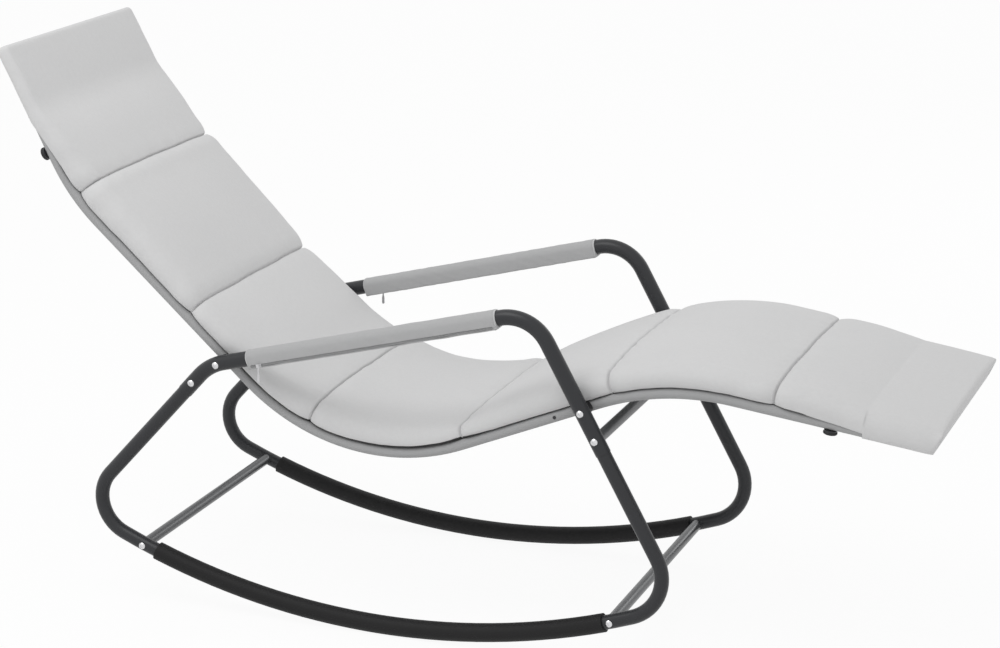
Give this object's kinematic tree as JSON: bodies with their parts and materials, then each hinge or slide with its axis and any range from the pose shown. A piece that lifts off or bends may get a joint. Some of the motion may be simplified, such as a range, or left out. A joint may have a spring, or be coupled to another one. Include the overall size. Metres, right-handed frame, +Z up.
{
  "type": "rocking chaise lounge",
  "caption": "Full length rocking lounge with bent tube side frames, curved rockers, an S-shaped sling seat, a panelled hook-on cushion and zipped armrest covers.",
  "frame": {"origin": "on the floor, under the middle of the lounge's overall length and width", "axes": "+X towards the foot end, +Y to the sitter's left, +Z up"},
  "size_m": [1.7706, 0.582, 1.033],
  "materials": {
    "frame_tube": "satin",
    "rail_tube": "satin",
    "rocker_sleeve": "matte",
    "black_plastic": "matte",
    "zinc_steel": "satin",
    "sling_cloth": "matte",
    "cushion_cloth": "matte",
    "filling": "matte",
    "arm_cloth": "matte",
    "foam": "matte",
    "zip_teeth": "matte",
    "zip_metal": "satin"
  },
  "bodies": {
    "lounge": {"cross_tube_inserts": "zinc_steel", "cross_tube_screws": "zinc_steel", "cushion_cover": "cushion_cloth", "cushion_fillings": "filling", "end_tube_plugs": "black_plastic", "foot_end_tube": "rail_tube", "foot_spreader": "rail_tube", "frame_saddles": "black_plastic", "front_cross_tube": "frame_tube", "head_end_tube": "rail_tube", "head_spreader": "rail_tube", "knob_screws": "black_plastic", "left_arm_cover": "arm_cloth", "left_arm_liner": "foam", "left_arm_tube": "frame_tube", "left_lower_rail": "rail_tube", "left_rocker_sleeve": "rocker_sleeve", "left_rocker_tube": "frame_tube", "left_upper_rail": "rail_tube", "left_zip_chain": "zip_teeth", "rail_inserts": "zinc_steel", "rail_joint_screws": "zinc_steel", "rail_joint_tubes": "rail_tube", "rear_cross_tube": "frame_tube", "rear_joint_nuts": "zinc_steel", "rear_joint_screws": "zinc_steel", "right_arm_cover": "arm_cloth", "right_arm_liner": "foam", "right_arm_tube": "frame_tube", "right_lower_rail": "rail_tube", "right_rocker_sleeve": "rocker_sleeve", "right_rocker_tube": "frame_tube", "right_upper_rail": "rail_tube", "right_zip_chain": "zip_teeth", "seat_bolts": "zinc_steel", "seat_cross_tube": "frame_tube", "seat_nuts": "zinc_steel", "sling": "sling_cloth"},
    "right_slider": {"right_zip_slider": "zip_metal"},
    "right_pull": {"right_zip_pull": "zip_metal"},
    "left_slider": {"left_zip_slider": "zip_metal"},
    "left_pull": {"left_zip_pull": "zip_metal"}
  },
  "joints": [
    {"name": "right_zip_slide", "type": "slide", "parent": "lounge", "child": "right_slider", "axis": [0.9688, 0, 0.2477], "range_m": [0, 0.44]},
    {"name": "right_pull_swing", "type": "hinge", "parent": "right_slider", "child": "right_pull", "pos_m": [-0.34661, -0.289, 0.4921], "axis": [0, 1, 0], "range_deg": [-75, 75]},
    {"name": "left_zip_slide", "type": "slide", "parent": "lounge", "child": "left_slider", "axis": [0.9688, 0, 0.2477], "range_m": [0, 0.44]},
    {"name": "left_pull_swing", "type": "hinge", "parent": "left_slider", "child": "left_pull", "pos_m": [-0.34661, 0.289, 0.4921], "axis": [0, 1, 0], "range_deg": [-75, 75]}
  ]
}
